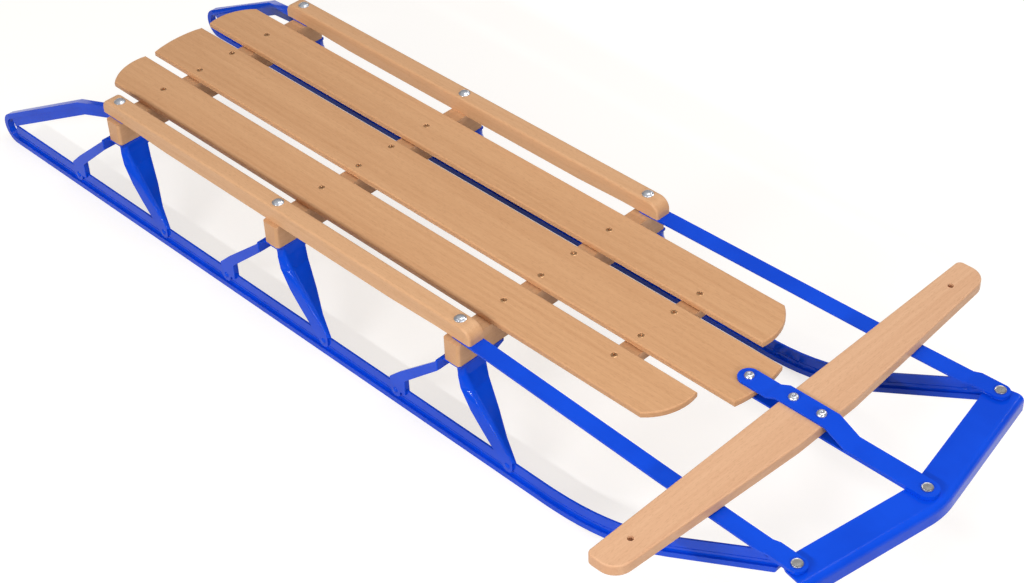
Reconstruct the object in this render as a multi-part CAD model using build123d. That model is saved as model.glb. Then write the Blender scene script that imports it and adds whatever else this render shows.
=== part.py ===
"""Steerable runner sled: a beech deck and rails on three benches, carried by pressed steel
knees on two springy steel runners. A wooden bar swings the nose and bends both runners.

Millimetres. x runs forward from the rear bench while the pieces are made, y is left, z is up
from the snow. The finished pieces are then moved so that the middle of the sled is at x = 0.
"""
import os
from math import acos, atan2, cos, degrees, hypot, radians, sin, tan

from build123d import *

os.makedirs("parts", exist_ok=True)

# Driving dimensions: heights
DECK_TOP = 143.5       # above the snow
SLAT_THICK = 8.0
BENCH_HIGH = 30.0
RAIL_HIGH = 22.0
SHEET = 2.5            # all flat steel: straps, knees, bumper and the web of the runners
BAR_THICK = 14.0

# Driving dimensions: lengths along the sled, from the rear bench
BENCH_PITCH = 300.0
BENCH_NAMES = ("rear", "middle", "front")
REAR_REACH = 250.0     # rear bench to the back of the runner loop
CLEAT_X = 748.0
PIVOT_X = 874.0
BAR_X = 949.5
NOSE_RIVET_X = 1098.5
NOSE_REACH = 21.5      # nose rivet to the front of the bumper
END_RIVET_X = 1069.5
RAIL_TAIL, RAIL_TIP = 24.0, 24.5     # rails past the rear and the front bench

# Driving dimensions: widths
BENCH_HALF = 165.0
BENCH_WIDE = 24.0
RUNNER_OUT = 6.0       # runner web outside the bench ends
RAIL_INSET = 17.0      # rail bolts inside the bench ends
TOE_IN = 7.5           # end rivets inside the runner webs, because the toes lean in
RAIL_WIDE = 22.0
HAND_GAP = 22.0        # rails to the deck
STRAP_WIDE = 21.0
STEER_WIDE = 25.0

# Fasteners and clearances
BOLT_D = 6.0
HEAD_D = 14.0          # bolts of the rails
STEER_HEAD_D = 11.5    # bolts of the steering straps
HEAD_HIGH = 3.5
NUT_D, NUT_HIGH = 11.0, 5.0
RIVET_HEAD_D, RIVET_HEAD_HIGH = 12.5, 2.2
SCREW_HEAD_D, SCREW_D, SCREW_SINK = 8.4, 4.0, 2.2    # seats of the deck screws
HOLE_PLAY = 0.4        # round a fixed bolt, on the diameter
PIVOT_PLAY = 0.12      # round a bolt or rivet that something turns on, on the diameter
END_SLACK = 5.0        # round the end rivets, which also take up the spread of the straps
SOFT_EDGE = 2.0        # sanded edges of the wood

# Places that follow from the driving dimensions
BENCH_TOP = DECK_TOP - SLAT_THICK
BENCH_BOTTOM = BENCH_TOP - BENCH_HIGH
RAIL_TOP = BENCH_TOP + RAIL_HIGH
NOSE_TOP = BENCH_TOP - SHEET         # top of the bumper, under the straps
BENCH_X = {name: number * BENCH_PITCH for number, name in enumerate(BENCH_NAMES)}
RAIL_REAR, RAIL_FRONT = -RAIL_TAIL, BENCH_X["front"] + RAIL_TIP
RUNNER_Y = BENCH_HALF + RUNNER_OUT
RAIL_Y = BENCH_HALF - RAIL_INSET
END_RIVET_Y = RUNNER_Y - TOE_IN
NOSE_FRONT = NOSE_RIVET_X + NOSE_REACH
MIDDLE_X = (NOSE_FRONT - REAR_REACH) / 2

pieces = {}


def drill(x, y, diameter):
    """A vertical hole right through the sled."""
    return Pos(x, y, DECK_TOP) * Cylinder(diameter / 2, 4 * DECK_TOP)


def upright(face, y, thick):
    """Stand a face drawn in (x, z) up in the plane of that y and give it a thickness."""
    return extrude(Plane.XZ * face, amount=thick / 2, both=True).moved(Pos(0, y, 0))


def right_of(piece):
    """The right-hand twin of a left-hand piece."""
    return mirror(piece, about=Plane.XZ)


def bent_sheet(start, corner, end, radius):
    """Sheet steel seen on edge: two flats and a round bend to the right, outer face on the points."""
    into = (Vector(*corner) - Vector(*start)).normalized()
    out = (Vector(*end) - Vector(*corner)).normalized()
    in_side, out_side = Vector(into.Y, -into.X), Vector(out.Y, -out.X)
    middle_side = (in_side + out_side).normalized()
    half_turn = acos(in_side.dot(out_side)) / 2
    centre = Vector(*corner) + middle_side * (radius / cos(half_turn))
    outer = [centre - side * radius for side in (in_side, middle_side, out_side)]
    inner = [centre - side * (radius - SHEET) for side in (out_side, middle_side, in_side)]
    tail, tip = Vector(*start), Vector(*end)
    return make_face(Wire([
        Line(tail, outer[0]), ThreePointArc(*outer), Line(outer[2], tip),
        Line(tip, tip + out_side * SHEET),
        Line(tip + out_side * SHEET, inner[0]), ThreePointArc(*inner),
        Line(inner[2], tail + in_side * SHEET), Line(tail + in_side * SHEET, tail),
    ]))


def domed_head(wide, high):
    """A low domed head, its seat at z = 0."""
    radius = ((wide / 2) ** 2 + high ** 2) / (2 * high)
    return Pos(0, 0, high - radius) * Sphere(radius) & Pos(0, 0, high / 2) * Cylinder(wide / 2, high)


def bolt(x, y, under_head, nut_seat, wide):
    """A domed bolt with its nut: shank from the seat of the head to the seat of the nut."""
    grip = under_head - nut_seat
    head = domed_head(wide, HEAD_HIGH)
    shank = Pos(0, 0, -(grip + NUT_HIGH) / 2) * Cylinder(BOLT_D / 2, grip + NUT_HIGH)
    nut = Pos(0, 0, -grip - NUT_HIGH) * extrude(RegularPolygon(NUT_D / 2, 6), NUT_HIGH)
    return Pos(x, y, under_head) * (head + shank + nut)


def rivet(x, y, under_head, tail_seat):
    """A rivet: domed head above, flat tail below."""
    head = Pos(0, 0, under_head) * domed_head(RIVET_HEAD_D, RIVET_HEAD_HIGH)
    shank = Pos(0, 0, (under_head + tail_seat) / 2) * Cylinder(BOLT_D / 2, under_head - tail_seat)
    tail = Pos(0, 0, tail_seat - SHEET / 2) * Cylinder(NUT_D / 2, SHEET)
    return Pos(x, y, 0) * (head + shank + tail)


# Benches: three beech crossbars, with the rail bolts through their ends
for name, bench_x in BENCH_X.items():
    bar = Pos(bench_x, 0, (BENCH_TOP + BENCH_BOTTOM) / 2) * Box(BENCH_WIDE, 2 * BENCH_HALF, BENCH_HIGH)
    bar = fillet(bar.edges().filter_by(Axis.Z), 2 * SOFT_EDGE)
    for side in (1, -1):
        bar -= drill(bench_x, side * RAIL_Y, BOLT_D + HOLE_PLAY)
    pieces[f"bench_{name}"] = bar

# Slats: the deck, each with bowed ends. Ends are given at the inner edge, crown and outer edge
CENTRE_HALF, CENTRE_REAR, CENTRE_FRONT, CENTRE_BOW = 38.0, -77.0, 887.0, 5.0
SLAT_GAP = 14.0
SIDE_REAR = (-78.0, -78.0, -59.0)
SIDE_FRONT = (849.0, 848.0, 827.0)
side_inner = CENTRE_HALF + SLAT_GAP
side_outer = RAIL_Y - RAIL_WIDE / 2 - HAND_GAP
CENTRE_SCREW_INSET = 12.0      # screws in from the edges of the centre slat
CLEAT_SCREW_INSET = 16.0       # screws of the cleat in from the inner edges of the side slats


def slat(low_y, high_y, rear, front):
    """A board with a three-point bow at each end and sanded edges."""
    mid_y = (low_y + high_y) / 2
    outline = Wire([
        ThreePointArc((rear[0], low_y), (rear[1], mid_y), (rear[2], high_y)),
        Line((rear[2], high_y), (front[2], high_y)),
        ThreePointArc((front[2], high_y), (front[1], mid_y), (front[0], low_y)),
        Line((front[0], low_y), (rear[0], low_y)),
    ])
    board = extrude(Pos(0, 0, BENCH_TOP) * make_face(outline), SLAT_THICK)
    layers = board.edges().group_by(Axis.Z)
    return fillet(layers[0] + layers[-1], SOFT_EDGE)


def screw_seat(x, y):
    """The countersunk seat of a deck screw."""
    return Pos(x, y, DECK_TOP - SCREW_SINK / 2) * Cone(SCREW_D / 2, SCREW_HEAD_D / 2, SCREW_SINK)


side_slat = slat(side_inner, side_outer, SIDE_REAR, SIDE_FRONT)
centre_slat = slat(
    -CENTRE_HALF, CENTRE_HALF,
    (CENTRE_REAR, CENTRE_REAR - CENTRE_BOW, CENTRE_REAR),
    (CENTRE_FRONT, CENTRE_FRONT + CENTRE_BOW, CENTRE_FRONT))
side_screws = [(x, (side_inner + side_outer) / 2) for x in BENCH_X.values()]
side_screws.append((CLEAT_X, side_inner + CLEAT_SCREW_INSET))
for screw_x, screw_y in side_screws:
    side_slat -= screw_seat(screw_x, screw_y)
    for side in (1, -1):
        centre_slat -= screw_seat(screw_x, side * (CENTRE_HALF - CENTRE_SCREW_INSET))
pieces["slat_left"] = side_slat
pieces["slat_right"] = right_of(side_slat)
pieces["slat_centre"] = centre_slat - drill(PIVOT_X, 0, BOLT_D + HOLE_PLAY)

# Cleat: a short batten that ties the fronts of the slats together from below
CLEAT_WIDE, CLEAT_THICK = 26.0, 12.0
CLEAT_INSET = 30.0       # ends of the cleat inside the edges of the deck
pieces["cleat_front"] = Pos(CLEAT_X, 0, BENCH_TOP - CLEAT_THICK / 2) * Box(
    CLEAT_WIDE, 2 * (side_outer - CLEAT_INSET), CLEAT_THICK)

# Rails: hand rails on the bench ends, round at both tips, rebated over the straps and arms
RAIL_TIP_ROUND = 14.0
RAIL_EDGE = 3.0
REBATE_LONG, REBATE_RAMP = 30.0, 70.0     # level stretch past the bench, then a slow run out
rail_side = Polyline(
    (RAIL_REAR, BENCH_TOP + SHEET), (BENCH_X["rear"] + REBATE_LONG, BENCH_TOP + SHEET),
    (BENCH_X["rear"] + REBATE_LONG + REBATE_RAMP, BENCH_TOP),
    (BENCH_X["front"] - REBATE_LONG - REBATE_RAMP, BENCH_TOP),
    (BENCH_X["front"] - REBATE_LONG, BENCH_TOP + SHEET), (RAIL_FRONT, BENCH_TOP + SHEET),
    (RAIL_FRONT, RAIL_TOP), (RAIL_REAR, RAIL_TOP), close=True)
rail = upright(make_face(rail_side), RAIL_Y, RAIL_WIDE)
rail = fillet(rail.edges().filter_by(Axis.Y).group_by(Axis.Z)[-1], RAIL_TIP_ROUND)
rail = fillet(rail.edges().filter_by(Axis.X).group_by(Axis.Z)[-1], RAIL_EDGE)
for bench_x in BENCH_X.values():
    rail -= drill(bench_x, RAIL_Y, BOLT_D + HOLE_PLAY)
pieces["rail_left"] = rail
pieces["rail_right"] = right_of(rail)

# Runners: one rolled section each, a grooved web on a wide shoe, sprung up at the toe and bent
# into a loop behind, from which an arm climbs inwards to the end of the rear bench
RUNNER_HIGH = 26.0
SHOE_WIDE, SHOE_HIGH = 9.0, 7.0
GROOVE_Z, GROOVE_HIGH, GROOVE_DEEP = 13.0, 1.4, 0.5
LOOP_R = 22.0
TOE_ANGLE = 29.0
TOE_R = 324.0
TOE_MEET_X = 1040.0      # where the rising top edge comes level with the straps
TOE_TIP_X = 1050.0
TOE_TIP_ROUND = 7.0
TOE_STUB = 10.0          # straight stretch in front of the mitre where the toe leans in
TAB_WIDE, TAB_LAP = 19.0, 7.0
NOTCH_LONG, NOTCH_DEEP = 13.0, 11.0     # relief behind the fold of the tab, below the straps
ARM_HIGH = 19.0
ARM_BEND_BACK, ARM_BEND_OUT, ARM_BEND_DROP = 80.0, 8.5, 17.0   # from bench, rail bolt and deck top
ARM_HEEL = 8.0           # level end of the arm behind the tip of the rail
ARM_GAP = 1.5            # web of the arm to the back of the rear bench

toe = radians(TOE_ANGLE)
bend_rise = TOE_R * (1 - cos(toe))
bend_x = TOE_MEET_X - (BENCH_TOP - RUNNER_HIGH - bend_rise) / tan(toe)
TOE_START_X = bend_x - TOE_R * sin(toe)
tip_rise = bend_rise + (TOE_TIP_X - bend_x) * tan(toe)
LOOP_X = LOOP_R - REAR_REACH


def runner_band(low, high):
    """The side view of the runner, from the loop to the toe, between two heights above its sole."""
    half_x, half_rise = TOE_R * sin(toe / 2), TOE_R * (1 - cos(toe / 2))

    def bend(height):
        return ThreePointArc((TOE_START_X, height), (TOE_START_X + half_x, height + half_rise),
                             (bend_x, height + bend_rise))
    return make_face(Wire([
        Line((LOOP_X, low), (TOE_START_X, low)), bend(low),
        Line((bend_x, low + bend_rise), (TOE_TIP_X, low + tip_rise)),
        Line((TOE_TIP_X, low + tip_rise), (TOE_TIP_X, high + tip_rise)),
        Line((TOE_TIP_X, high + tip_rise), (bend_x, high + bend_rise)),
        bend(high), Line((TOE_START_X, high), (LOOP_X, high)),
        Line((LOOP_X, high), (LOOP_X, low)),
    ]))


# The straight bar, then the same bar leaned in, meeting it at a mitre just behind the toe
section = upright(runner_band(0, SHOE_HIGH), RUNNER_Y, SHOE_WIDE)
section += upright(runner_band(SHOE_HIGH, RUNNER_HIGH), RUNNER_Y, SHEET)
groove = upright(runner_band(GROOVE_Z, GROOVE_Z + GROOVE_HIGH), RUNNER_Y, 2 * GROOVE_DEEP)
for side in (1, -1):
    section -= groove.moved(Pos(0, side * SHEET / 2, 0))
section = fillet(section.edges().filter_by(Axis.Y).sort_by_distance((TOE_TIP_X, RUNNER_Y, tip_rise))[0],
                 TOE_TIP_ROUND)
tab_rear = TOE_TIP_X - TAB_LAP
notch_bottom, notch_rear = BENCH_TOP - NOTCH_DEEP, tab_rear - NOTCH_LONG
section -= upright(make_face(Polyline(
    (notch_rear, notch_bottom), (tab_rear, notch_bottom), (tab_rear, BENCH_TOP),
    (END_RIVET_X, BENCH_TOP), (END_RIVET_X, DECK_TOP), (notch_rear, DECK_TOP), close=True)),
    RUNNER_Y, 2 * SHOE_WIDE)
mitre_x = TOE_START_X - TOE_STUB
lean = atan2(TOE_IN, END_RIVET_X - mitre_x)
mitre = Plane(origin=(mitre_x, RUNNER_Y, 0), z_dir=(cos(lean / 2), -sin(lean / 2), 0))
leaned = Pos(mitre_x, RUNNER_Y, 0) * Rot(0, 0, -degrees(lean)) * Pos(-mitre_x, -RUNNER_Y, 0) * section
straight = split(section, bisect_by=mitre, keep=Keep.BOTTOM)
toe_bar = split(leaned, bisect_by=mitre, keep=Keep.TOP)

# The arm leaves the loop where a line from the bend just touches the loop's rim
arm_bend = (-ARM_BEND_BACK, RAIL_Y + ARM_BEND_OUT, DECK_TOP - ARM_BEND_DROP)
arm_slope = atan2(arm_bend[2] - LOOP_R, arm_bend[0] - LOOP_X)
reach = hypot(arm_bend[0] - LOOP_X, arm_bend[2] - LOOP_R)
arm_slope += atan2(-LOOP_R, (reach ** 2 - LOOP_R ** 2) ** 0.5)


def arm_section(x, y, z, slope, turn):
    """The rolled section hanging from the top point of the arm, square to its run."""
    run = (cos(slope) * cos(turn), cos(slope) * sin(turn), sin(slope))
    plane = Plane(origin=(x, y, z), x_dir=(-sin(turn), cos(turn), 0), z_dir=run)
    half_shoe, half_web = SHOE_WIDE / 2, SHEET / 2
    return plane * make_face(Polyline(
        (-half_shoe, 0), (half_shoe, 0), (half_shoe, -SHOE_HIGH), (half_web, -SHOE_HIGH),
        (half_web, -ARM_HIGH), (-half_web, -ARM_HIGH), (-half_web, -SHOE_HIGH),
        (-half_shoe, -SHOE_HIGH), close=True))


ring = Pos(LOOP_X, RUNNER_Y - SHOE_WIDE / 2, LOOP_R) * Rot(-90, 0, 0) * (
    Cylinder(LOOP_R, SHOE_WIDE, align=(Align.CENTER, Align.CENTER, Align.MIN))
    - Cylinder(LOOP_R - SHOE_HIGH, SHOE_WIDE, align=(Align.CENTER, Align.CENTER, Align.MIN)))
off = LOOP_R * 3
loop_side = make_face(Polyline(
    (LOOP_X, LOOP_R), (LOOP_X, -off), (LOOP_X - off, -off), (LOOP_X - off, LOOP_R + off),
    (LOOP_X - off * sin(arm_slope), LOOP_R + off * cos(arm_slope)), close=True))
loop = ring & upright(loop_side, RUNNER_Y, 2 * SHOE_WIDE)
loop_top = (LOOP_X - LOOP_R * sin(arm_slope), RUNNER_Y, LOOP_R + LOOP_R * cos(arm_slope))
heel_rear = (RAIL_REAR - ARM_HEEL, RAIL_Y, BENCH_TOP + SHEET)
heel_front = (-BENCH_WIDE / 2 - ARM_GAP, RAIL_Y, BENCH_TOP + SHEET)
rise_turn = atan2(arm_bend[1] - RUNNER_Y, arm_bend[0] - loop_top[0])
level_turn = atan2(RAIL_Y - arm_bend[1], heel_rear[0] - arm_bend[0])
level_slope = atan2(heel_rear[2] - arm_bend[2], heel_rear[0] - arm_bend[0])
at_bend = arm_section(*arm_bend, (arm_slope + level_slope) / 2, (rise_turn + level_turn) / 2)
climb = loft([arm_section(*loop_top, arm_slope, 0), at_bend], ruled=True)
level = loft([at_bend, arm_section(*heel_rear, 0, 0), arm_section(*heel_front, 0, 0)], ruled=True)
tongue = Pos(0, RAIL_Y, BENCH_TOP + SHEET / 2) * Box(BENCH_WIDE + 2 * ARM_GAP, RAIL_WIDE - SOFT_EDGE, SHEET)
tongue -= drill(BENCH_X["rear"], RAIL_Y, BOLT_D + HOLE_PLAY)
tab = Pos((tab_rear + END_RIVET_X) / 2, END_RIVET_Y, NOSE_TOP + SHEET / 2) * Box(
    END_RIVET_X - tab_rear, TAB_WIDE, SHEET)
tab += Pos(END_RIVET_X, END_RIVET_Y, NOSE_TOP + SHEET / 2) * Cylinder(TAB_WIDE / 2, SHEET)
tab -= drill(END_RIVET_X, END_RIVET_Y, BOLT_D + HOLE_PLAY)
runner = straight + toe_bar + loop + climb + level + tongue + tab
pieces["runner_left"] = runner
pieces["runner_right"] = right_of(runner)

# Knees: each is one steel pressing. A plate under the bench end is folded down in front into
# a leg that bends to an angle and ends flat on the runner, and behind into a brace
FOOT_R = 8.0
FOOT_Z = 18.5
LEG_FOOT, BRACE_FOOT = 90.0, -87.0      # rivets of the two feet, ahead of and behind the bench
FOOT_RISE = 2.0                         # top of the runner to the end of the leg's angle
BRACE_HEEL = 16.5                       # the back of the brace foot goes up that far from its rivet
BRACE_BEND_UPPER = (11.0, 34.5)         # corners where the brace turns up its slope, from its rivet
BRACE_BEND_LOWER = (19.0, 25.0)
EAR_ABOVE, EAR_BELOW = 4.0, 10.0        # fold of the brace behind the bench, from the plate's underside
EAR_GAP = 0.3                           # fold to the back of the bench
EAR_LAP = 12.0                          # fold in from the end of the bench
FORK_REAR, FORK_FRONT, FORK_LOW = 8.0, 17.0, 2.0     # inner lobe of the brace foot, from its rivet
PLATE_HALF = 13.0
WING = 77.0                             # plate and the fold along its front, in from the feet
web_face = RUNNER_Y + SHEET / 2
foot_y = web_face + SHEET / 2
outside = web_face + SHEET
plate_bottom = BENCH_BOTTOM - SHEET
leg_end = plate_bottom - RUNNER_HIGH - FOOT_RISE
#   drop below the plate, then (x, distance in from the feet) of the outer edge, ridge and inner edge,
#   then the radius of the ridge
LEG = (
    (0.0, (10.0, 9.75), (PLATE_HALF, 18.0), (PLATE_HALF, WING), 5.0),
    (9.5, (10.0, 9.25), (17.0, 16.0), (16.0, 46.0), 5.0),
    (23.5, (14.5, 7.75), (29.0, 13.5), (23.0, 42.5), 5.0),
    (42.5, (32.0, 4.5), (64.0, 4.0), (53.0, 27.5), 5.0),
    (56.5, (50.0, 2.0), (81.0, 1.5), (80.5, 11.5), 4.5),
    (leg_end, (72.0, 0.0), (101.0, 0.0), (101.0, 4.0), 3.0),
)


def leg_section(drop, outer, ridge, inner, radius):
    """The angle section of the leg, that far below the plate."""
    angle = bent_sheet(*[(x, outside - inward) for x, inward in (outer, ridge, inner)], radius)
    return Pos(0, 0, plate_bottom - drop) * angle


def foot(x, upper_corners):
    """A flat piece on the outside of the web: a round foot, and the corners that it widens to above."""
    sides = [(x - FOOT_R, FOOT_Z), *upper_corners, (x + FOOT_R, FOOT_Z)]
    return upright(make_face(Polyline(*sides, close=True)) + Pos(x, FOOT_Z) * Circle(FOOT_R), foot_y, SHEET)


leg = loft([leg_section(*row) for row in LEG], ruled=True)
leg_back, leg_front, leg_radius = LEG[-1][1][0], LEG[-1][2][0], LEG[-1][4]
foot_top = RUNNER_HIGH + FOOT_RISE
leg_foot = foot(LEG_FOOT, [(leg_back, foot_top), (leg_front - leg_radius, foot_top)])
ear_front = -BENCH_WIDE / 2 - EAR_GAP
ear_top, ear_bottom = plate_bottom + EAR_ABOVE, plate_bottom - EAR_BELOW
brace_upper, brace_lower = [
    (BRACE_FOOT + ahead, FOOT_Z + above) for ahead, above in (BRACE_BEND_UPPER, BRACE_BEND_LOWER)]
brace = foot(BRACE_FOOT, [
    (BRACE_FOOT - FOOT_R, FOOT_Z + BRACE_HEEL), brace_upper, (ear_front, ear_top), (ear_front, ear_bottom),
    brace_lower, (BRACE_FOOT + FOOT_R, foot_top)])
ear_inner = BENCH_HALF - EAR_LAP
ear = Pos(ear_front - SHEET / 2, (ear_inner + outside) / 2, (ear_top + ear_bottom) / 2) * Box(
    SHEET, outside - ear_inner, ear_top - ear_bottom)
fork_side = make_face(Polyline(
    (BRACE_FOOT + FORK_REAR, FOOT_Z + FORK_LOW), (BRACE_FOOT + FORK_FRONT, FOOT_Z + FORK_LOW),
    (BRACE_FOOT + FORK_FRONT, brace_lower[1]), (BRACE_FOOT + FORK_REAR, brace_lower[1]), close=True))
fork = upright(fork_side, RUNNER_Y, 3 * SHEET) - upright(runner_band(0, RUNNER_HIGH), RUNNER_Y, SHEET)
plate_inner = outside - WING
plate = Pos((PLATE_HALF + ear_front) / 2, (plate_inner + BENCH_HALF) / 2, BENCH_BOTTOM - SHEET / 2) * Box(
    PLATE_HALF - ear_front, BENCH_HALF - plate_inner, SHEET)
knee = plate + leg + leg_foot + brace + ear + fork
knee -= drill(0, RAIL_Y, BOLT_D + HOLE_PLAY)
for name, bench_x in BENCH_X.items():
    pieces[f"knee_{name}_left"] = knee.moved(Pos(bench_x, 0, 0))
    pieces[f"knee_{name}_right"] = right_of(pieces[f"knee_{name}_left"])

# Side straps: flat springs from the front rail bolts to the ends of the bumper, dipping under
# the steering bar and stepping up again onto the toes of the runners
DIP = 3.5
DIP_START, DIP_END = 40.0, 300.0     # from the rail bolt, along the strap
STEP_LONG, STEP_GAP = 10.0, 2.0      # the step up ends that far behind the tab of the runner
step_end = tab_rear - STEP_GAP - BENCH_X["front"]
strap_long = hypot(END_RIVET_X - BENCH_X["front"], END_RIVET_Y - RAIL_Y)
strap_turn = degrees(atan2(END_RIVET_Y - RAIL_Y, END_RIVET_X - BENCH_X["front"]))
strap_line = [(-STRAP_WIDE, 0), (DIP_START, 0), (DIP_END, -DIP), (step_end - STEP_LONG, -DIP),
              (step_end, 0), (strap_long + STRAP_WIDE, 0)]


def flat_strip(line):
    """The side view of a sheet strip bent along a line of (x, z) points, its underside on the line."""
    return make_face(Polyline(*line, *[(x, z + SHEET) for x, z in reversed(line)], close=True))


strap = upright(flat_strip(strap_line), 0, 2 * STRAP_WIDE)
strap &= extrude(Pos(strap_long / 2, 0, -DIP - SHEET) * SlotCenterToCenter(strap_long, STRAP_WIDE),
                 2 * DIP + 3 * SHEET)
strap = Pos(BENCH_X["front"], RAIL_Y, BENCH_TOP) * Rot(0, 0, strap_turn) * strap
strap -= drill(BENCH_X["front"], RAIL_Y, BOLT_D + PIVOT_PLAY)
strap -= drill(END_RIVET_X, END_RIVET_Y, BOLT_D + END_SLACK)
pieces["side_strap_left"] = strap
pieces["side_strap_right"] = right_of(strap)

# Bumper: a shallow chevron of sheet, its front edge turned down over a full round
BUMPER_DEEP = 38.0
END_EDGE = 15.0          # end rivets to the ends of the front edge
SWEEP_BACK = 0.18        # x for each millimetre of y
LIP_HIGH = 20.0
LIP_ROUND = 8.0
NOSE_ROUND = 100.0
bumper_half = END_RIVET_Y + END_EDGE
peak_x = NOSE_FRONT + NOSE_ROUND * (hypot(1, SWEEP_BACK) - 1)
end_x = peak_x - SWEEP_BACK * bumper_half
front_edge = Pos(0, 0, NOSE_TOP) * FilletPolyline(
    (end_x, bumper_half), (peak_x, 0), (end_x, -bumper_half), radius=NOSE_ROUND)
ahead = front_edge % 0
across = Plane(origin=front_edge @ 0, x_dir=(-ahead.Y, ahead.X, 0), z_dir=ahead)
bumper = sweep(across * bent_sheet((-BUMPER_DEEP, 0), (0, 0), (0, -LIP_HIGH), LIP_ROUND), front_edge)
bumper = fillet(bumper.edges().filter_by(Axis.Z).sort_by(Axis.X)[:2], END_EDGE)
rivet_places = ((NOSE_RIVET_X, 0.0), (END_RIVET_X, END_RIVET_Y), (END_RIVET_X, -END_RIVET_Y))
for rivet_x, rivet_y in rivet_places:
    bumper -= drill(rivet_x, rivet_y, BOLT_D)
pieces["bumper"] = bumper
rivets = [rivet(x, y, BENCH_TOP + SHEET, NOSE_TOP - SHEET) for x, y in rivet_places]
pieces["bumper_rivets"] = Compound(rivets)

# Steering straps: two flat springs that hold the nose of the centre slat and the bar between
# them, then lie one on the other out to the bumper
BAR_TOP = BENCH_TOP + BAR_THICK
BAR_WIDE = 55.0
BAR_BOLT_PITCH = 36.0
RAMP_UP, RAMP_DOWN = 12.0, 26.0
BAR_MARGIN = 4.0                         # flat of the upper strap past each edge of the bar
bar_rear, bar_front = BAR_X - BAR_WIDE / 2, BAR_X + BAR_WIDE / 2
bar_bolts = (BAR_X - BAR_BOLT_PITCH / 2, BAR_X + BAR_BOLT_PITCH / 2)
steer_long = NOSE_RIVET_X - PIVOT_X
upper_line = [(PIVOT_X - STEER_WIDE, DECK_TOP), (bar_rear - BAR_MARGIN - RAMP_UP, DECK_TOP),
              (bar_rear - BAR_MARGIN, BAR_TOP), (bar_front + BAR_MARGIN, BAR_TOP),
              (bar_front + BAR_MARGIN + RAMP_DOWN, BENCH_TOP), (NOSE_RIVET_X + STEER_WIDE, BENCH_TOP)]
lower_line = [(PIVOT_X - STEER_WIDE, NOSE_TOP), (NOSE_RIVET_X + STEER_WIDE, NOSE_TOP)]
for name, line in (("upper", upper_line), ("lower", lower_line)):
    band = upright(flat_strip(line), 0, 2 * STEER_WIDE)
    band &= extrude(Pos((PIVOT_X + NOSE_RIVET_X) / 2, 0, 0) * SlotCenterToCenter(steer_long, STEER_WIDE),
                    2 * DECK_TOP)
    for hole_x in (PIVOT_X, NOSE_RIVET_X):
        band -= drill(hole_x, 0, BOLT_D + PIVOT_PLAY)
    for hole_x in bar_bolts:
        band -= drill(hole_x, 0, BOLT_D + HOLE_PLAY)
    pieces[f"steering_strap_{name}"] = band

# Steering bar: a beech bar, straight behind and tapered in front, with a rope hole at each end
BAR_HALF = 296.0
BAR_END_WIDE = 38.5
BAR_WAIST = 45.0          # half of the middle stretch that keeps its full width
BAR_REAR_ROUND, BAR_FRONT_ROUND = 7.0, 22.0     # corners of the ends
ROPE_HOLE_D = 7.0
ROPE_INSET = 42.0         # rope holes in from the ends of the bar
rope_x = bar_rear + BAR_END_WIDE / 2
bar_plan = make_face(Polyline(
    (bar_rear, -BAR_HALF), (bar_rear, BAR_HALF), (bar_rear + BAR_END_WIDE, BAR_HALF), (bar_front, BAR_WAIST),
    (bar_front, -BAR_WAIST), (bar_rear + BAR_END_WIDE, -BAR_HALF), close=True))
bar_plan = fillet(bar_plan.vertices().group_by(Axis.X)[0], BAR_REAR_ROUND)
bar_plan = fillet(bar_plan.vertices().group_by(Axis.X)[-2], BAR_FRONT_ROUND)
bar = extrude(Pos(0, 0, BENCH_TOP) * bar_plan, BAR_THICK)
bar = fillet(bar.edges().group_by(Axis.Z)[-1] + bar.edges().group_by(Axis.Z)[0], SOFT_EDGE)
for side in (1, -1):
    bar -= drill(rope_x, side * (BAR_HALF - ROPE_INSET), ROPE_HOLE_D)
for hole_x in bar_bolts:
    bar -= drill(hole_x, 0, BOLT_D + HOLE_PLAY)
pieces["steering_bar"] = bar

# Bolts: the pivot, the two in the bar, and the six that hold rails, benches and knees together
pieces["pivot_bolt"] = bolt(PIVOT_X, 0, DECK_TOP + SHEET, NOSE_TOP, STEER_HEAD_D)
pieces["bar_bolts"] = Compound([
    bolt(x, 0, BAR_TOP + SHEET, NOSE_TOP, STEER_HEAD_D) for x in bar_bolts])
pieces["rail_bolts"] = Compound([
    bolt(x, side * RAIL_Y, RAIL_TOP, plate_bottom, HEAD_D) for x in BENCH_X.values() for side in (1, -1)])

for name, piece in pieces.items():
    export_step(piece.moved(Pos(-MIDDLE_X, 0, 0)), f"parts/{name}.step")
print(f"{len(pieces)} pieces, origin {MIDDLE_X:.2f} ahead of the rear bench")
print(f"steer radius {steer_long:.2f}, strap {strap_long:.2f}, toe starts {TOE_START_X:.2f}")
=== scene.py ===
"""Steerable runner sled: lacquered beech deck and rails, gloss blue steel and zinc bolts."""
from math import pi, radians

import bmesh
import bpy
from mathutils import Matrix, Quaternion, Vector


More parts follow.
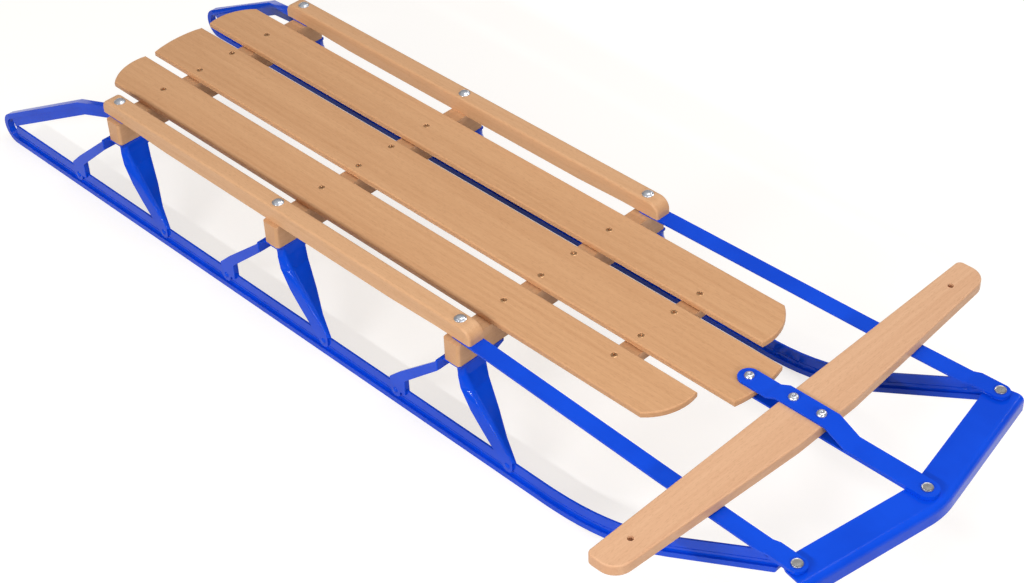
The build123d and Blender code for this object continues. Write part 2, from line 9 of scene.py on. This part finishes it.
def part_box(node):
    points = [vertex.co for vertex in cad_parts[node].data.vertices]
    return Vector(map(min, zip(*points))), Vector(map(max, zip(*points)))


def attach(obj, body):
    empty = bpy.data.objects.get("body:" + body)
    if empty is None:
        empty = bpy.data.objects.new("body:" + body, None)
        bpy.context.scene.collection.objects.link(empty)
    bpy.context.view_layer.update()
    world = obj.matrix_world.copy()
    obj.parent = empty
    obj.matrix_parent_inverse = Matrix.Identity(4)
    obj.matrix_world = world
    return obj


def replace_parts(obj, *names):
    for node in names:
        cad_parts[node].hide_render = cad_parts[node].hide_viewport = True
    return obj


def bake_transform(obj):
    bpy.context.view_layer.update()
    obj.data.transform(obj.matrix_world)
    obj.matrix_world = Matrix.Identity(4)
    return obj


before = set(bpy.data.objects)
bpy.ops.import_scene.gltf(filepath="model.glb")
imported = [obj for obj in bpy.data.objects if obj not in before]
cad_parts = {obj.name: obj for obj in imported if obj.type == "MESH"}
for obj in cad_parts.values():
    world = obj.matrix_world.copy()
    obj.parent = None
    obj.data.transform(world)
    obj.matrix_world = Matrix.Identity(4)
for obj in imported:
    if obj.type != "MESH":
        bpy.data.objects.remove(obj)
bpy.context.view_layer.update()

scene = bpy.context.scene

# Benches: three beech crossbars that carry the deck. Each is planed square, its upright edges are
# rounded, and it is sealed with a clear satin lacquer. The grain runs across the sled.
BENCHES = ("rear", "middle", "front")
SIDES = ("left", "right")
RAIL_BEECH = {"Pale": (0.74, 0.435, 0.235, 1), "Dark": (0.64, 0.345, 0.17, 1),
              "Fleck": (0.36, 0.165, 0.066, 1)}
# where in the timber each bench was cut
BENCH_GRAINS = ((0, 0.31, 0.12), (0.7, 0.31, 0.12), (1.4, 0.31, 0.12))
# figure of the wood: waves per metre along and across the grain, detail, and the noise from faint to full
BANDS = (1.3, 24, 2, 0.33, 0.67)
STREAKS = (4, 190, 2, 0.45, 0.7)
FIBRES = (40, 800, 2, 0.3, 0.7)
FLECKS = (200, 1300, 1, 0.57, 0.69)
PITH_OFF, PITH_STRETCH = (0, 0.012, 0.06), (0.05, 1, 1)
RING_WAVES, RING_WANDER, RING_DETAIL = 46, 2.2, 2
# how much each darkens the wood
BAND_SHARE, RING_SHARE, STREAK_SHARE, FIBRE_SHARE, END_SHARE = 0.36, 0.14, 0.3, 0.32, 0.5
FLECK_SHARE = 0.22
END_FACING = (0.55, 0.9)
SATIN = (0.36, 0.5)
FIBRE_RAISED, FLECK_SUNK = 0.5, -0.8
BEECH_BUMP = {"strength": 0.2, "distance": 0.0003}
LACQUER_SPECULAR = 0.3


def node_group(name, inputs, outputs):
    """An empty shader node group with named sockets, and its input and output nodes."""
    group = bpy.data.node_groups.new(name, "ShaderNodeTree")
    for direction, sockets in (("INPUT", inputs), ("OUTPUT", outputs)):
        for socket, kind in sockets:
            group.interface.new_socket(socket, in_out=direction, socket_type="NodeSocket" + kind)
    return group, group.nodes.new("NodeGroupInput"), group.nodes.new("NodeGroupOutput")


def add_node(tree, kind, links=(), **values):
    """A new node: links are (input, output socket) pairs, values set inputs or properties by name."""
    node = tree.nodes.new("ShaderNode" + kind)
    for key, value in values.items():
        if key.title() in node.inputs:
            node.inputs[key.title()].default_value = value
        else:
            setattr(node, key, value)
    for socket, source in links:
        tree.links.new(node.inputs[socket], source)
    return node


def stretched_noise(tree, vector, scale, detail):
    """Noise drawn out along X: scale is in waves per metre along X, Y and Z."""
    mapping = add_node(tree, "Mapping", [("Vector", vector)], scale=scale)
    return add_node(tree, "TexNoise", [("Vector", mapping.outputs[0])], scale=1, detail=detail).outputs[0]


def remap(tree, value, low, high, to_low=0, to_high=1):
    """A value range spread over another one, clamped."""
    node = add_node(tree, "MapRange", [("Value", value)])
    for socket, number in zip(("From Min", "From Max", "To Min", "To Max"), (low, high, to_low, to_high)):
        node.inputs[socket].default_value = number
    return node.outputs[0]


def mix_colour(tree, factor, first, second):
    """Two colour sockets mixed by a factor socket."""
    # the Mix node has an A, a B and a result for every type of data, and these are the colours' numbers
    colour_a, colour_b, colour_result = 6, 7, 2
    node = add_node(tree, "Mix", data_type="RGBA")
    for socket, source in (("Factor", factor), (colour_a, first), (colour_b, second)):
        tree.links.new(node.inputs[socket], source)
    return node.outputs[colour_result]


def weighted(tree, *terms):
    """The sum of (socket, weight) terms."""
    total = None
    for socket, weight in terms:
        part = add_node(tree, "Math", [(0, socket)], operation="MULTIPLY")
        part.inputs[1].default_value = weight
        if total is None:
            total = part.outputs[0]
        else:
            total = add_node(tree, "Math", [(0, total), (1, part.outputs[0])], operation="ADD").outputs[0]
    return total


# Beech: broad bands, growth rings cut at a slant, fine fibres and the short dark flecks of its rays.
# The ends of a board are darker.
FINISH = [("Color", "Color"), ("Roughness", "Float"), ("Height", "Float")]
beech, beech_in, beech_out = node_group(
    "beech_grain",
    [("Vector", "Vector"), ("End", "Float"), ("Pale", "Color"), ("Dark", "Color"), ("Fleck", "Color")],
    FINISH)


def grain(along, across, detail, faint, full):
    """One figure of the beech: a noise drawn out along the grain, from 0 where faint to 1 where full."""
    noise = stretched_noise(beech, beech_in.outputs["Vector"], (along, across, across), detail)
    return remap(beech, noise, faint, full)


bands, streaks, fibres, flecks = grain(*BANDS), grain(*STREAKS), grain(*FIBRES), grain(*FLECKS)
pith = add_node(beech, "Mapping", [("Vector", beech_in.outputs["Vector"])], location=PITH_OFF,
                scale=PITH_STRETCH)
rings = add_node(beech, "TexWave", [("Vector", pith.outputs[0])], wave_type="RINGS", rings_direction="X",
                 scale=RING_WAVES, distortion=RING_WANDER, detail=RING_DETAIL)
board_end = remap(beech, beech_in.outputs["End"], *END_FACING)
figure = weighted(beech, (bands, BAND_SHARE), (rings.outputs["Fac"], RING_SHARE), (streaks, STREAK_SHARE),
                  (fibres, FIBRE_SHARE), (board_end, END_SHARE))
plain = mix_colour(beech, figure, beech_in.outputs["Pale"], beech_in.outputs["Dark"])
flecked = mix_colour(beech, weighted(beech, (flecks, FLECK_SHARE)), plain, beech_in.outputs["Fleck"])
beech.links.new(beech_out.inputs["Color"], flecked)
beech.links.new(beech_out.inputs["Roughness"], remap(beech, fibres, 0, 1, *SATIN))
beech.links.new(beech_out.inputs["Height"], weighted(beech, (fibres, FIBRE_RAISED), (flecks, FLECK_SUNK)))


def finish_with(name, group, colours, bump, turn=0, shift=(0, 0, 0)):
    """A material that reads a finish group along Object coordinates, turned and shifted for one piece."""
    material = bpy.data.materials.new(name)
    material.use_nodes = True
    tree = material.node_tree
    surface = tree.nodes["Principled BSDF"]
    place = add_node(tree, "TexCoord")
    mapping = add_node(tree, "Mapping", [("Vector", place.outputs["Object"])], location=shift,
                       rotation=(0, 0, turn))
    skin = add_node(tree, "Group", node_tree=group)
    tree.links.new(skin.inputs["Vector"], mapping.outputs[0])
    for socket, colour in colours.items():
        skin.inputs[socket].default_value = colour
    tree.links.new(surface.inputs["Base Color"], skin.outputs["Color"])
    tree.links.new(surface.inputs["Roughness"], skin.outputs["Roughness"])
    relief = add_node(tree, "Bump", [("Height", skin.outputs["Height"])], **bump)
    tree.links.new(surface.inputs["Normal"], relief.outputs[0])
    return material


def beech_board(node, colours, shift, crosswise=False):
    """Finish one wooden piece, with its own stretch of grain along or across the sled."""
    turn = radians(90 if crosswise else 0)
    material = finish_with(node + "_beech", beech, colours, BEECH_BUMP, turn, shift)
    tree = material.node_tree
    tree.nodes["Principled BSDF"].inputs["Specular IOR Level"].default_value = LACQUER_SPECULAR
    facing = add_node(tree, "SeparateXYZ", [("Vector", tree.nodes["Texture Coordinate"].outputs["Normal"])])
    end = add_node(tree, "Math", [(0, facing.outputs["Y" if crosswise else "X"])], operation="ABSOLUTE")
    tree.links.new(tree.nodes["Group"].inputs["End"], end.outputs[0])
    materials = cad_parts[node].data.materials
    materials.clear()
    materials.append(material)


for place, shift in zip(BENCHES, BENCH_GRAINS):
    beech_board("bench_" + place, RAIL_BEECH, shift, crosswise=True)

# Knees: six pressings of sheet steel, each folded from one blank into a plate, a ridged leg and a
# brace, then dipped in gloss blue paint. They are held by the rail bolts and riveted to the runners.
BLUE, BLUE_DEEP = (0.003, 0.072, 0.7, 1), (0.002, 0.06, 0.62, 1)
# clouds of the paint, in waves per metre, and the noise over which they change its colour and its gloss
CLOUD_WAVES, CLOUD_DETAIL = (17, 17, 17), 3
CLOUD_COLOUR, CLOUD_GLOSS = (0.35, 0.65), (0.3, 0.7)
GLOSS = (0.09, 0.15)
PEEL_WAVES, PEEL_DETAIL = (210, 210, 210), 2
PAINT_BUMP = {"strength": 0.08, "distance": 0.0003}
PAINT_SPECULAR = 0.14
# rounding of folds and of cut edges: its width, the least width of the faces beside it, and its steps
FOLDS, CUT_EDGES = (0.0022, 0.004, 4), (0.0006, 0, 2)
SHARP = radians(32)
SAME_PLACE, SAME_FLAT = 1e-5, radians(0.4)

paint, paint_in, paint_out = node_group(
    "gloss_paint", [("Vector", "Vector"), ("Colour", "Color"), ("Deep", "Color")], FINISH)
clouds = stretched_noise(paint, paint_in.outputs["Vector"], CLOUD_WAVES, CLOUD_DETAIL)
peel = stretched_noise(paint, paint_in.outputs["Vector"], PEEL_WAVES, PEEL_DETAIL)
paint.links.new(paint_out.inputs["Color"], mix_colour(
    paint, remap(paint, clouds, *CLOUD_COLOUR), paint_in.outputs["Colour"], paint_in.outputs["Deep"]))
paint.links.new(paint_out.inputs["Roughness"], remap(paint, clouds, *CLOUD_GLOSS, *GLOSS))
paint.links.new(paint_out.inputs["Height"], peel)
blue_paint = finish_with("blue_gloss_paint", paint, {"Colour": BLUE, "Deep": BLUE_DEEP}, PAINT_BUMP)
blue_shader = blue_paint.node_tree.nodes["Principled BSDF"]
blue_shader.inputs["Specular IOR Level"].default_value = PAINT_SPECULAR


def merged_copy(node):
    """A bmesh copy of a CAD node with its loose triangles joined into whole faces."""
    bm = bmesh.new()
    bm.from_mesh(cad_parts[node].data)
    bmesh.ops.remove_doubles(bm, verts=bm.verts, dist=SAME_PLACE)
    bmesh.ops.dissolve_limit(bm, angle_limit=SAME_FLAT, verts=bm.verts, edges=bm.edges)
    return bm


def soften(bm):
    """Round the folds of a sheet, which lie between two wide faces, and then its sharp cut edges."""
    for width, face_wide, segments in (FOLDS, CUT_EDGES):
        edges = [edge for edge in bm.edges if edge.is_manifold and edge.calc_face_angle() > SHARP
                 and min(face.calc_area() for face in edge.link_faces) > face_wide * edge.calc_length()]
        bmesh.ops.bevel(bm, geom=edges, offset=width, offset_type="OFFSET", affect="EDGES",
                        segments=segments, profile=0.5, material=-1, clamp_overlap=True)


def add_piece(name, bm, material, body=None):
    """Turn a bmesh into a finished piece with smooth faces, riding on a body if one is given."""
    mesh = bpy.data.meshes.new(name)
    bm.to_mesh(mesh)
    bm.free()
    mesh.materials.append(material)
    mesh.shade_smooth()
    mesh.set_sharp_from_angle(angle=SHARP)
    obj = bpy.data.objects.new(name, mesh)
    scene.collection.objects.link(obj)
    obj.modifiers.new("flats_stay_flat", "WEIGHTED_NORMAL").keep_sharp = True
    if body:
        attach(obj, body)
    return obj


def painted_steel(node, body):
    """A painted piece of flat steel with the soft edges that paint gives it."""
    bm = merged_copy(node)
    soften(bm)
    steel = add_piece(node + "_painted", bm, blue_paint, body)
    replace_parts(steel, node)


for place in BENCHES:
    for side in SIDES:
        painted_steel(f"knee_{place}_{side}", "sled")

# Runners: one rolled steel section each, a thin web on a wide shoe, bent into the loop behind and
# sprung up at the toe. The front ends are springs that bend sideways with the steering straps, and that
# stretch of each runner is cut here into thin slices across it.
FLEX_START, FLEX_END = 0.275, 0.605
FLEX_CUTS = 26
RIVET_RADIUS = 0.00625
TAB_HOLE, TAB_PLAY = 0.0045, 0.0023
rivets_low, rivets_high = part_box("bumper_rivets")
for side, mirror in zip(SIDES, (1, -1)):
    runner = merged_copy("runner_" + side)
    soften(runner)
    # the hole in the tab at the toe is an easy fit, which lets the rivet wander as the straps swing
    rivet = Vector((rivets_low.x + RIVET_RADIUS, mirror * (rivets_high.y - RIVET_RADIUS), 0))
    for vert in runner.verts:
        away = (vert.co - rivet) * Vector((1, 1, 0))
        if away.length < TAB_HOLE:
            vert.co += away.normalized() * TAB_PLAY
    for cut in range(FLEX_CUTS + 1):
        cut_x = FLEX_START + (FLEX_END - FLEX_START) * cut / FLEX_CUTS
        geometry = runner.verts[:] + runner.edges[:] + runner.faces[:]
        bmesh.ops.bisect_plane(runner, geom=geometry, plane_co=(cut_x, 0, 0), plane_no=(1, 0, 0))
    spring = add_piece(f"runner_{side}_painted", runner, blue_paint)
    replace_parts(spring, "runner_" + side)
    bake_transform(spring)

# Knee rivets: two soft steel rivets hold each knee to its runner, one through the leg's foot and one
# through the brace's. Their heads are outside, their upset tails inside, and all are painted over.
LEG_FOOT, BRACE_FOOT, FOOT_HIGH = 0.09, -0.087, 0.0185
RIVET_GRIP = 0.005
# profiles as (radius, height)
KNEE_RIVET = ((0, 0.0019), (0.0018, 0.0017), (0.0033, 0.0011), (0.0042, 0), (0, 0))
KNEE_TAIL = ((0, 0.0012), (0.0028, 0.0012), (0.0036, 0.0007), (0.0038, 0), (0, 0))
HEAD_SEGMENTS = 28
SAME_POLE = 1e-6


def small_mesh(name, bm):
    """A closed bmesh with its faces turned outwards, kept as a mesh to be set in several places."""
    bmesh.ops.recalc_face_normals(bm, faces=bm.faces)
    mesh = bpy.data.meshes.new(name)
    bm.to_mesh(mesh)
    bm.free()
    return mesh


def turned(name, profile):
    """A small mesh turned about Z from (radius, height) points that start and end on the axis."""
    bm = bmesh.new()
    points = [bm.verts.new((radius, 0, height)) for radius, height in profile]
    edges = [bm.edges.new(pair) for pair in zip(points, points[1:])]
    bmesh.ops.spin(bm, geom=points + edges, axis=(0, 0, 1), cent=(0, 0, 0), angle=2 * pi,
                   steps=HEAD_SEGMENTS, use_merge=True)
    bmesh.ops.remove_doubles(bm, verts=bm.verts, dist=SAME_POLE)
    return small_mesh(name, bm)


def set_in(bm, shape, matrix):
    """Add a copy of a small mesh to a bmesh, at its place."""
    before = set(bm.verts)
    bm.from_mesh(shape)
    bmesh.ops.transform(bm, matrix=matrix, verts=[vert for vert in bm.verts if vert not in before])


def middle_of(node):
    """The middle of a CAD node's box."""
    low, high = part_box(node)
    return (low + high) / 2


knee_rivets = bmesh.new()
knee_rivet, knee_tail = turned("knee_rivet", KNEE_RIVET), turned("knee_tail", KNEE_TAIL)
foot_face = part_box("knee_front_left")[1].y
for place in BENCHES:
    for mirror in (1, -1):
        for ahead in (LEG_FOOT, BRACE_FOOT):
            for shape, face, turn in ((knee_rivet, foot_face, -90), (knee_tail, foot_face - RIVET_GRIP, 90)):
                spot = Vector((middle_of("bench_" + place).x + ahead, mirror * face, FOOT_HIGH))
                outwards = Matrix.Rotation(radians(mirror * turn), 4, "X")
                set_in(knee_rivets, shape, Matrix.Translation(spot) @ outwards)
add_piece("knee_rivets_painted", knee_rivets, blue_paint, "sled")

# Deck: three thin beech slats, sawn with bowed ends and sanded round, screwed to the benches and to
# a cleat that ties their front ends together from below.
DECK_BEECH = {"Pale": (0.705, 0.395, 0.2, 1), "Dark": (0.585, 0.3, 0.14, 1),
              "Fleck": (0.36, 0.165, 0.066, 1)}
SLAT_GRAINS = {"left": (0, 0, 0), "centre": (0.9, 0.23, 0.05), "right": (1.8, 0.46, 0.1)}
CLEAT_GRAIN = (0.2, 0.4, 0.3)
for side, shift in SLAT_GRAINS.items():
    beech_board("slat_" + side, DECK_BEECH, shift)
beech_board("cleat_front", DECK_BEECH, CLEAT_GRAIN, crosswise=True)

# Deck screws: brassy countersunk wood screws with a cross recess, driven a little below the face of
# the slats, two through the centre slat and one through each side slat at every crossbar.
BRASS, BRASS_DULL = (0.85, 0.5, 0.26, 1), (0.5, 0.27, 0.13, 1)
# the head as rings of (radius, height), and its recess as arm, half of the slot and depth
SCREW_RINGS = ((0.0033, -0.0001), (0.0038, -0.0004), (0.0019, -0.0021))
SCREW_CROSS = (0.0021, 0.0005, 0.0011)
RECESS_TAPER = 0.7
CENTRE_INSET, CLEAT_INSET = 0.012, 0.016
# every screw stops at another angle, in radians for each crossbar and each metre across
TURN_PER_BAR, TURN_PER_METRE = 0.9, 17
SPANGLE_WAVES, SPANGLE_DETAIL = (330, 330, 330), 3
SCRATCH_WAVES, SCRATCH_DETAIL = (900, 2600, 900), 2
SPANGLE_COLOUR, SPANGLE_GLOSS = (0.35, 0.65), (0.3, 0.7)
PLATE_GLOSS = (0.22, 0.4)
PLATE_BUMP = {"strength": 0.1, "distance": 0.0001}


def cross_head(name, rings, arm, half_slot, depth):
    """A round head grown outwards from its flat top by (radius, height) rings, with a cross recess."""
    bm = bmesh.new()
    radius, top = rings[0]
    rim = bmesh.ops.create_circle(bm, segments=HEAD_SEGMENTS, radius=radius)["verts"]
    bmesh.ops.translate(bm, verts=rim, vec=(0, 0, top))
    rim_edges = list(bm.edges)
    outline = []
    for quarter in range(4):
        turn = Matrix.Rotation(quarter * pi / 2, 4, "Z")
        for x, y in ((arm, -half_slot), (arm, half_slot), (half_slot, half_slot)):
            outline.append(bm.verts.new(turn @ Vector((x, y, top))))
    cross = [bm.edges.new(pair) for pair in zip(outline, outline[1:] + outline[:1])]
    bmesh.ops.triangle_fill(bm, use_beauty=True, edges=rim_edges + cross)

    def extruded(edges):
        grown = bmesh.ops.extrude_edge_only(bm, edges=edges)["geom"]
        verts = [item for item in grown if isinstance(item, bmesh.types.BMVert)]
        return verts, [edge for edge in bm.edges if set(edge.verts) <= set(verts)]

    floor_verts, floor_edges = extruded(cross)
    bmesh.ops.scale(bm, vec=(RECESS_TAPER, RECESS_TAPER, 1), verts=floor_verts)
    bmesh.ops.translate(bm, vec=(0, 0, -depth), verts=floor_verts)
    bmesh.ops.edgeloop_fill(bm, edges=floor_edges)
    for next_radius, height in rings[1:]:
        rim, rim_edges = extruded(rim_edges)
        bmesh.ops.scale(bm, vec=(next_radius / radius, next_radius / radius, 1), verts=rim)
        bmesh.ops.translate(bm, vec=(0, 0, height - top), verts=rim)
        radius, top = next_radius, height
    bmesh.ops.edgeloop_fill(bm, edges=rim_edges)
    return small_mesh(name, bm)


plated, plated_in, plated_out = node_group(
    "plated_metal", [("Vector", "Vector"), ("Bright", "Color"), ("Dull", "Color")], FINISH)
spangle = stretched_noise(plated, plated_in.outputs["Vector"], SPANGLE_WAVES, SPANGLE_DETAIL)
scratches = stretched_noise(plated, plated_in.outputs["Vector"], SCRATCH_WAVES, SCRATCH_DETAIL)
plated.links.new(plated_out.inputs["Color"], mix_colour(
    plated, remap(plated, spangle, *SPANGLE_COLOUR), plated_in.outputs["Bright"], plated_in.outputs["Dull"]))
plated.links.new(plated_out.inputs["Roughness"], remap(plated, spangle, *SPANGLE_GLOSS, *PLATE_GLOSS))
plated.links.new(plated_out.inputs["Height"], scratches)


def plated_metal(name, bright, dull):
    """A plated steel finish of two shades."""
    material = finish_with(name, plated, {"Bright": bright, "Dull": dull}, PLATE_BUMP)
    material.node_tree.nodes["Principled BSDF"].inputs["Metallic"].default_value = 1
    return material


deck_screw = cross_head("deck_screw", SCREW_RINGS, *SCREW_CROSS)
deck_screws = bmesh.new()
slat_low, slat_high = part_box("slat_left")
centre_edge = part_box("slat_centre")[1].y
crossbars = [(middle_of("bench_" + place).x, (slat_low.y + slat_high.y) / 2) for place in BENCHES]
crossbars.append((middle_of("cleat_front").x, slat_low.y + CLEAT_INSET))
for number, (bar_x, side_y) in enumerate(crossbars):
    for screw_y in (side_y, centre_edge - CENTRE_INSET, CENTRE_INSET - centre_edge, -side_y):
        turn = Matrix.Rotation(TURN_PER_BAR * number + TURN_PER_METRE * screw_y, 4, "Z")
        set_in(deck_screws, deck_screw, Matrix.Translation((bar_x, screw_y, slat_high.z)) @ turn)
add_piece("deck_screws", deck_screws, plated_metal("brassy_plate", BRASS, BRASS_DULL), "sled")

# Hand rails: two beech rails of square section, with their tips and upper edges rounded, lacquered as the
# benches are. Each is bolted down through the three benches and their knees, clear of the deck.
RAIL_GRAINS = {"left": (0, 0.11, 0.02), "right": (1.3, 0.11, 0.09)}
for side, shift in RAIL_GRAINS.items():
    beech_board("rail_" + side, RAIL_BEECH, shift)

# Rail bolts: six round-headed bolts of bright zinc plated steel, which go down through rail, bench and
# knee to a nut below. Each head is a low dome on a thin flange.
ZINC, ZINC_DULL = (0.8, 0.82, 0.87, 1), (0.6, 0.63, 0.7, 1)
BOLT_HEAD_HIGH = 0.0035
ROUND_HEAD = ((0, 0.0034), (0.0024, 0.0033), (0.0042, 0.0028), (0.0055, 0.0018), (0.0059, 0.0011),
              (0.0068, 0.0008), (0.007, 0.0005), (0.007, 0), (0, 0))
bright_zinc = plated_metal("bright_zinc", ZINC, ZINC_DULL)


def new_heads(node, head, head_high, places, material, body):
    """Bolts or rivets: the shanks and nuts of a CAD node, with modelled heads set on their seats."""
    bm = merged_copy(node)
    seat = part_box(node)[1].z - head_high
    geometry = bm.verts[:] + bm.edges[:] + bm.faces[:]
    cut = bmesh.ops.bisect_plane(bm, geom=geometry, plane_co=(0, 0, seat), plane_no=(0, 0, 1),
                                 clear_outer=True)["geom_cut"]
    bmesh.ops.edgenet_fill(bm, edges=[item for item in cut if isinstance(item, bmesh.types.BMEdge)])
    for x, y in places:
        set_in(bm, head, Matrix.Translation((x, y, seat)))
    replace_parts(add_piece(node + "_plated", bm, material, body), node)


rail_places = [(middle_of("bench_" + place).x, middle_of("rail_" + side).y)
               for place in BENCHES for side in SIDES]
new_heads("rail_bolts", turned("round_head", ROUND_HEAD), BOLT_HEAD_HIGH, rail_places, bright_zinc, "sled")

# Steering straps and side straps: flat spring steel, punched at the ends and painted blue. The side
# straps run from the front rail bolts to the bumper, the steering straps hold the bar between them.
for side in SIDES:
    painted_steel("side_strap_" + side, "strap_" + side)
for level in ("upper", "lower"):
    painted_steel("steering_strap_" + level, "steering")

# Bumper: a shallow chevron of sheet steel with its front edge rolled down, riveted to the straps.
# The three rivets are dull zinc plated, with a flat face inside a raised rim.
DULL_ZINC, DULL_ZINC_DARK = (0.56, 0.55, 0.54, 1), (0.42, 0.42, 0.42, 1)
RIVET_HIGH = 0.0022
RIM_HEAD = ((0, 0.0017), (0.0028, 0.00165), (0.0046, 0.0015), (0.0052, 0.00165), (0.0057, 0.0018),
            (0.0061, 0.0014), (RIVET_RADIUS, 0.0008), (RIVET_RADIUS, 0), (0, 0))
painted_steel("bumper", "bumper")
rivet_places = [(rivets_high.x - RIVET_RADIUS, 0)]
for mirror in (1, -1):
    rivet_places.append((rivets_low.x + RIVET_RADIUS, mirror * (rivets_high.y - RIVET_RADIUS)))
dull_zinc = plated_metal("dull_zinc", DULL_ZINC, DULL_ZINC_DARK)
new_heads("bumper_rivets", turned("rim_head", RIM_HEAD), RIVET_HIGH, rivet_places, dull_zinc, "bumper")

# Steering bar: one paler beech bar across the nose, straight behind and tapered in front, with rounded
# corners. It is bolted between the two steering straps and has a rope hole near each end.
BAR_BEECH = {"Pale": (0.755, 0.45, 0.265, 1), "Dark": (0.66, 0.36, 0.2, 1), "Fleck": (0.4, 0.19, 0.08, 1)}
BAR_GRAIN = (0.6, 0.2, 0.03)
beech_board("steering_bar", BAR_BEECH, BAR_GRAIN, crosswise=True)

# Steering bolts: bright zinc pan heads with a cross recess, one at the pivot through the nose of the
# centre slat and two through the bar.
PAN_RINGS = ((0.0026, 0.0035), (0.0038, 0.0032), (0.0049, 0.0025), (0.0055, 0.0015), (0.00575, 0.0006),
             (0.00575, 0))
PAN_CROSS = (0.0022, 0.0005, 0.0013)
pan_head = cross_head("pan_head", PAN_RINGS, *PAN_CROSS)
pan_radius = PAN_RINGS[-1][0]
pivot = middle_of("pivot_bolt")
bolts_low, bolts_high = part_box("bar_bolts")
new_heads("pivot_bolt", pan_head, BOLT_HEAD_HIGH, [(pivot.x, pivot.y)], bright_zinc, "sled")
new_heads("bar_bolts", pan_head, BOLT_HEAD_HIGH,
          [(bolts_low.x + pan_radius, 0), (bolts_high.x - pan_radius, 0)], bright_zinc, "steering")

# Floor: a plain matt studio floor that keeps the soft shadow of the sled. A glow lifts it to white for
# rays from the camera, a mirror or a clear body, and adds nothing to the light that bounces off it.
FLOOR_WHITE, FLOOR_GLOW = (0.4, 0.4, 0.4, 1), (1, 0.965, 0.925, 1)
FLOOR_LIFT = 0.71
FLOOR_HALF = 150
floor_bm = bmesh.new()
bmesh.ops.create_grid(floor_bm, x_segments=1, y_segments=1, size=FLOOR_HALF)
floor_mesh = bpy.data.meshes.new("studio_floor")
floor_bm.to_mesh(floor_mesh)
floor_bm.free()
floor = bpy.data.objects.new("studio_floor", floor_mesh)
scene.collection.objects.link(floor)

floor_paint = bpy.data.materials.new("studio_floor")
floor_paint.use_nodes = True
floor_tree = floor_paint.node_tree
floor_tree.nodes.remove(floor_tree.nodes["Principled BSDF"])
light_path = add_node(floor_tree, "LightPath")
seen = light_path.outputs["Is Camera Ray"]
for ray in ("Is Glossy Ray", "Is Transmission Ray"):
    seen = add_node(floor_tree, "Math", [(0, seen), (1, light_path.outputs[ray])],
                    operation="MAXIMUM").outputs[0]
matt = add_node(floor_tree, "BsdfDiffuse", color=FLOOR_WHITE)
lift = add_node(floor_tree, "Emission", [("Strength", weighted(floor_tree, (seen, FLOOR_LIFT)))],
                color=FLOOR_GLOW)
both = add_node(floor_tree, "AddShader", [(0, matt.outputs[0]), (1, lift.outputs[0])])
floor_tree.links.new(floor_tree.nodes["Material Output"].inputs["Surface"], both.outputs[0])
floor_mesh.materials.append(floor_paint)

# Light: a room with a pale ceiling and dimmer walls, a soft box above the far side, and three lower
# strips around the sled that draw bright lines along the folds of the steel.
WALL_LIGHT, CEILING_LIGHT = 0.2, 0.5
WALL_TOP, CEILING_FROM = 0.1, 0.8
ROOM_WHITE = (1, 1, 1, 1)
# name, place, aim, width and height in metres, and power in watts
LAMPS = (
    ("overhead_box", (0.6, 0.5, 2.6), (0.3, 0, 0), (1.5, 1.5), 17),
    ("far_strip", (0.8, 2.6, 1.75), (0.3, 0, 0.1), (1.6, 0.14), 13),
    ("near_strip", (0.3, -2.2, 1.2), (0.2, 0, 0.1), (1.8, 0.07), 36),
    ("front_strip", (2.3, -0.5, 0.8), (0.4, 0, 0.1), (1.2, 0.1), 16))
world = bpy.data.worlds.new("studio_room")
scene.world = world
world.use_nodes = True
room = world.node_tree
background = room.nodes["Background"]
background.inputs["Color"].default_value = ROOM_WHITE
looking = add_node(room, "SeparateXYZ", [("Vector", add_node(room, "TexCoord").outputs["Generated"])])
room.links.new(background.inputs["Strength"],
               remap(room, looking.outputs["Z"], WALL_TOP, CEILING_FROM, WALL_LIGHT, CEILING_LIGHT))
for name, place, aim, size, power in LAMPS:
    lamp = bpy.data.lights.new(name, "AREA")
    lamp.shape = "RECTANGLE"
    lamp.size, lamp.size_y = size
    lamp.energy = power
    lamp_object = bpy.data.objects.new(name, lamp)
    lamp_object.location = place
    lamp_object.rotation_euler = (Vector(aim) - Vector(place)).to_track_quat("-Z", "Y").to_euler()
    scene.collection.objects.link(lamp_object)
scene.view_settings.view_transform = "Standard"

# Camera: above the near side of the nose, looking back along the deck as in the photograph. Its place,
# lens and slight roll come from a fit to the straight edges of the deck, rails and runners.
EYE = Vector((1.41802, -1.25715, 1.58284))
AIM = Vector((0.16147, -0.06748, 0.1435))
ROLL = radians(-2.487)
LENS, SENSOR = 72.892, 36
camera = bpy.data.cameras.new("camera")
camera.lens = LENS
camera.sensor_width = SENSOR
camera.sensor_fit = "HORIZONTAL"
camera_object = bpy.data.objects.new("camera", camera)
camera_object.location = EYE
aim_turn = (AIM - EYE).to_track_quat("-Z", "Y") @ Quaternion((0, 0, 1), ROLL)
camera_object.rotation_euler = aim_turn.to_euler()
scene.collection.objects.link(camera_object)
scene.camera = camera_object
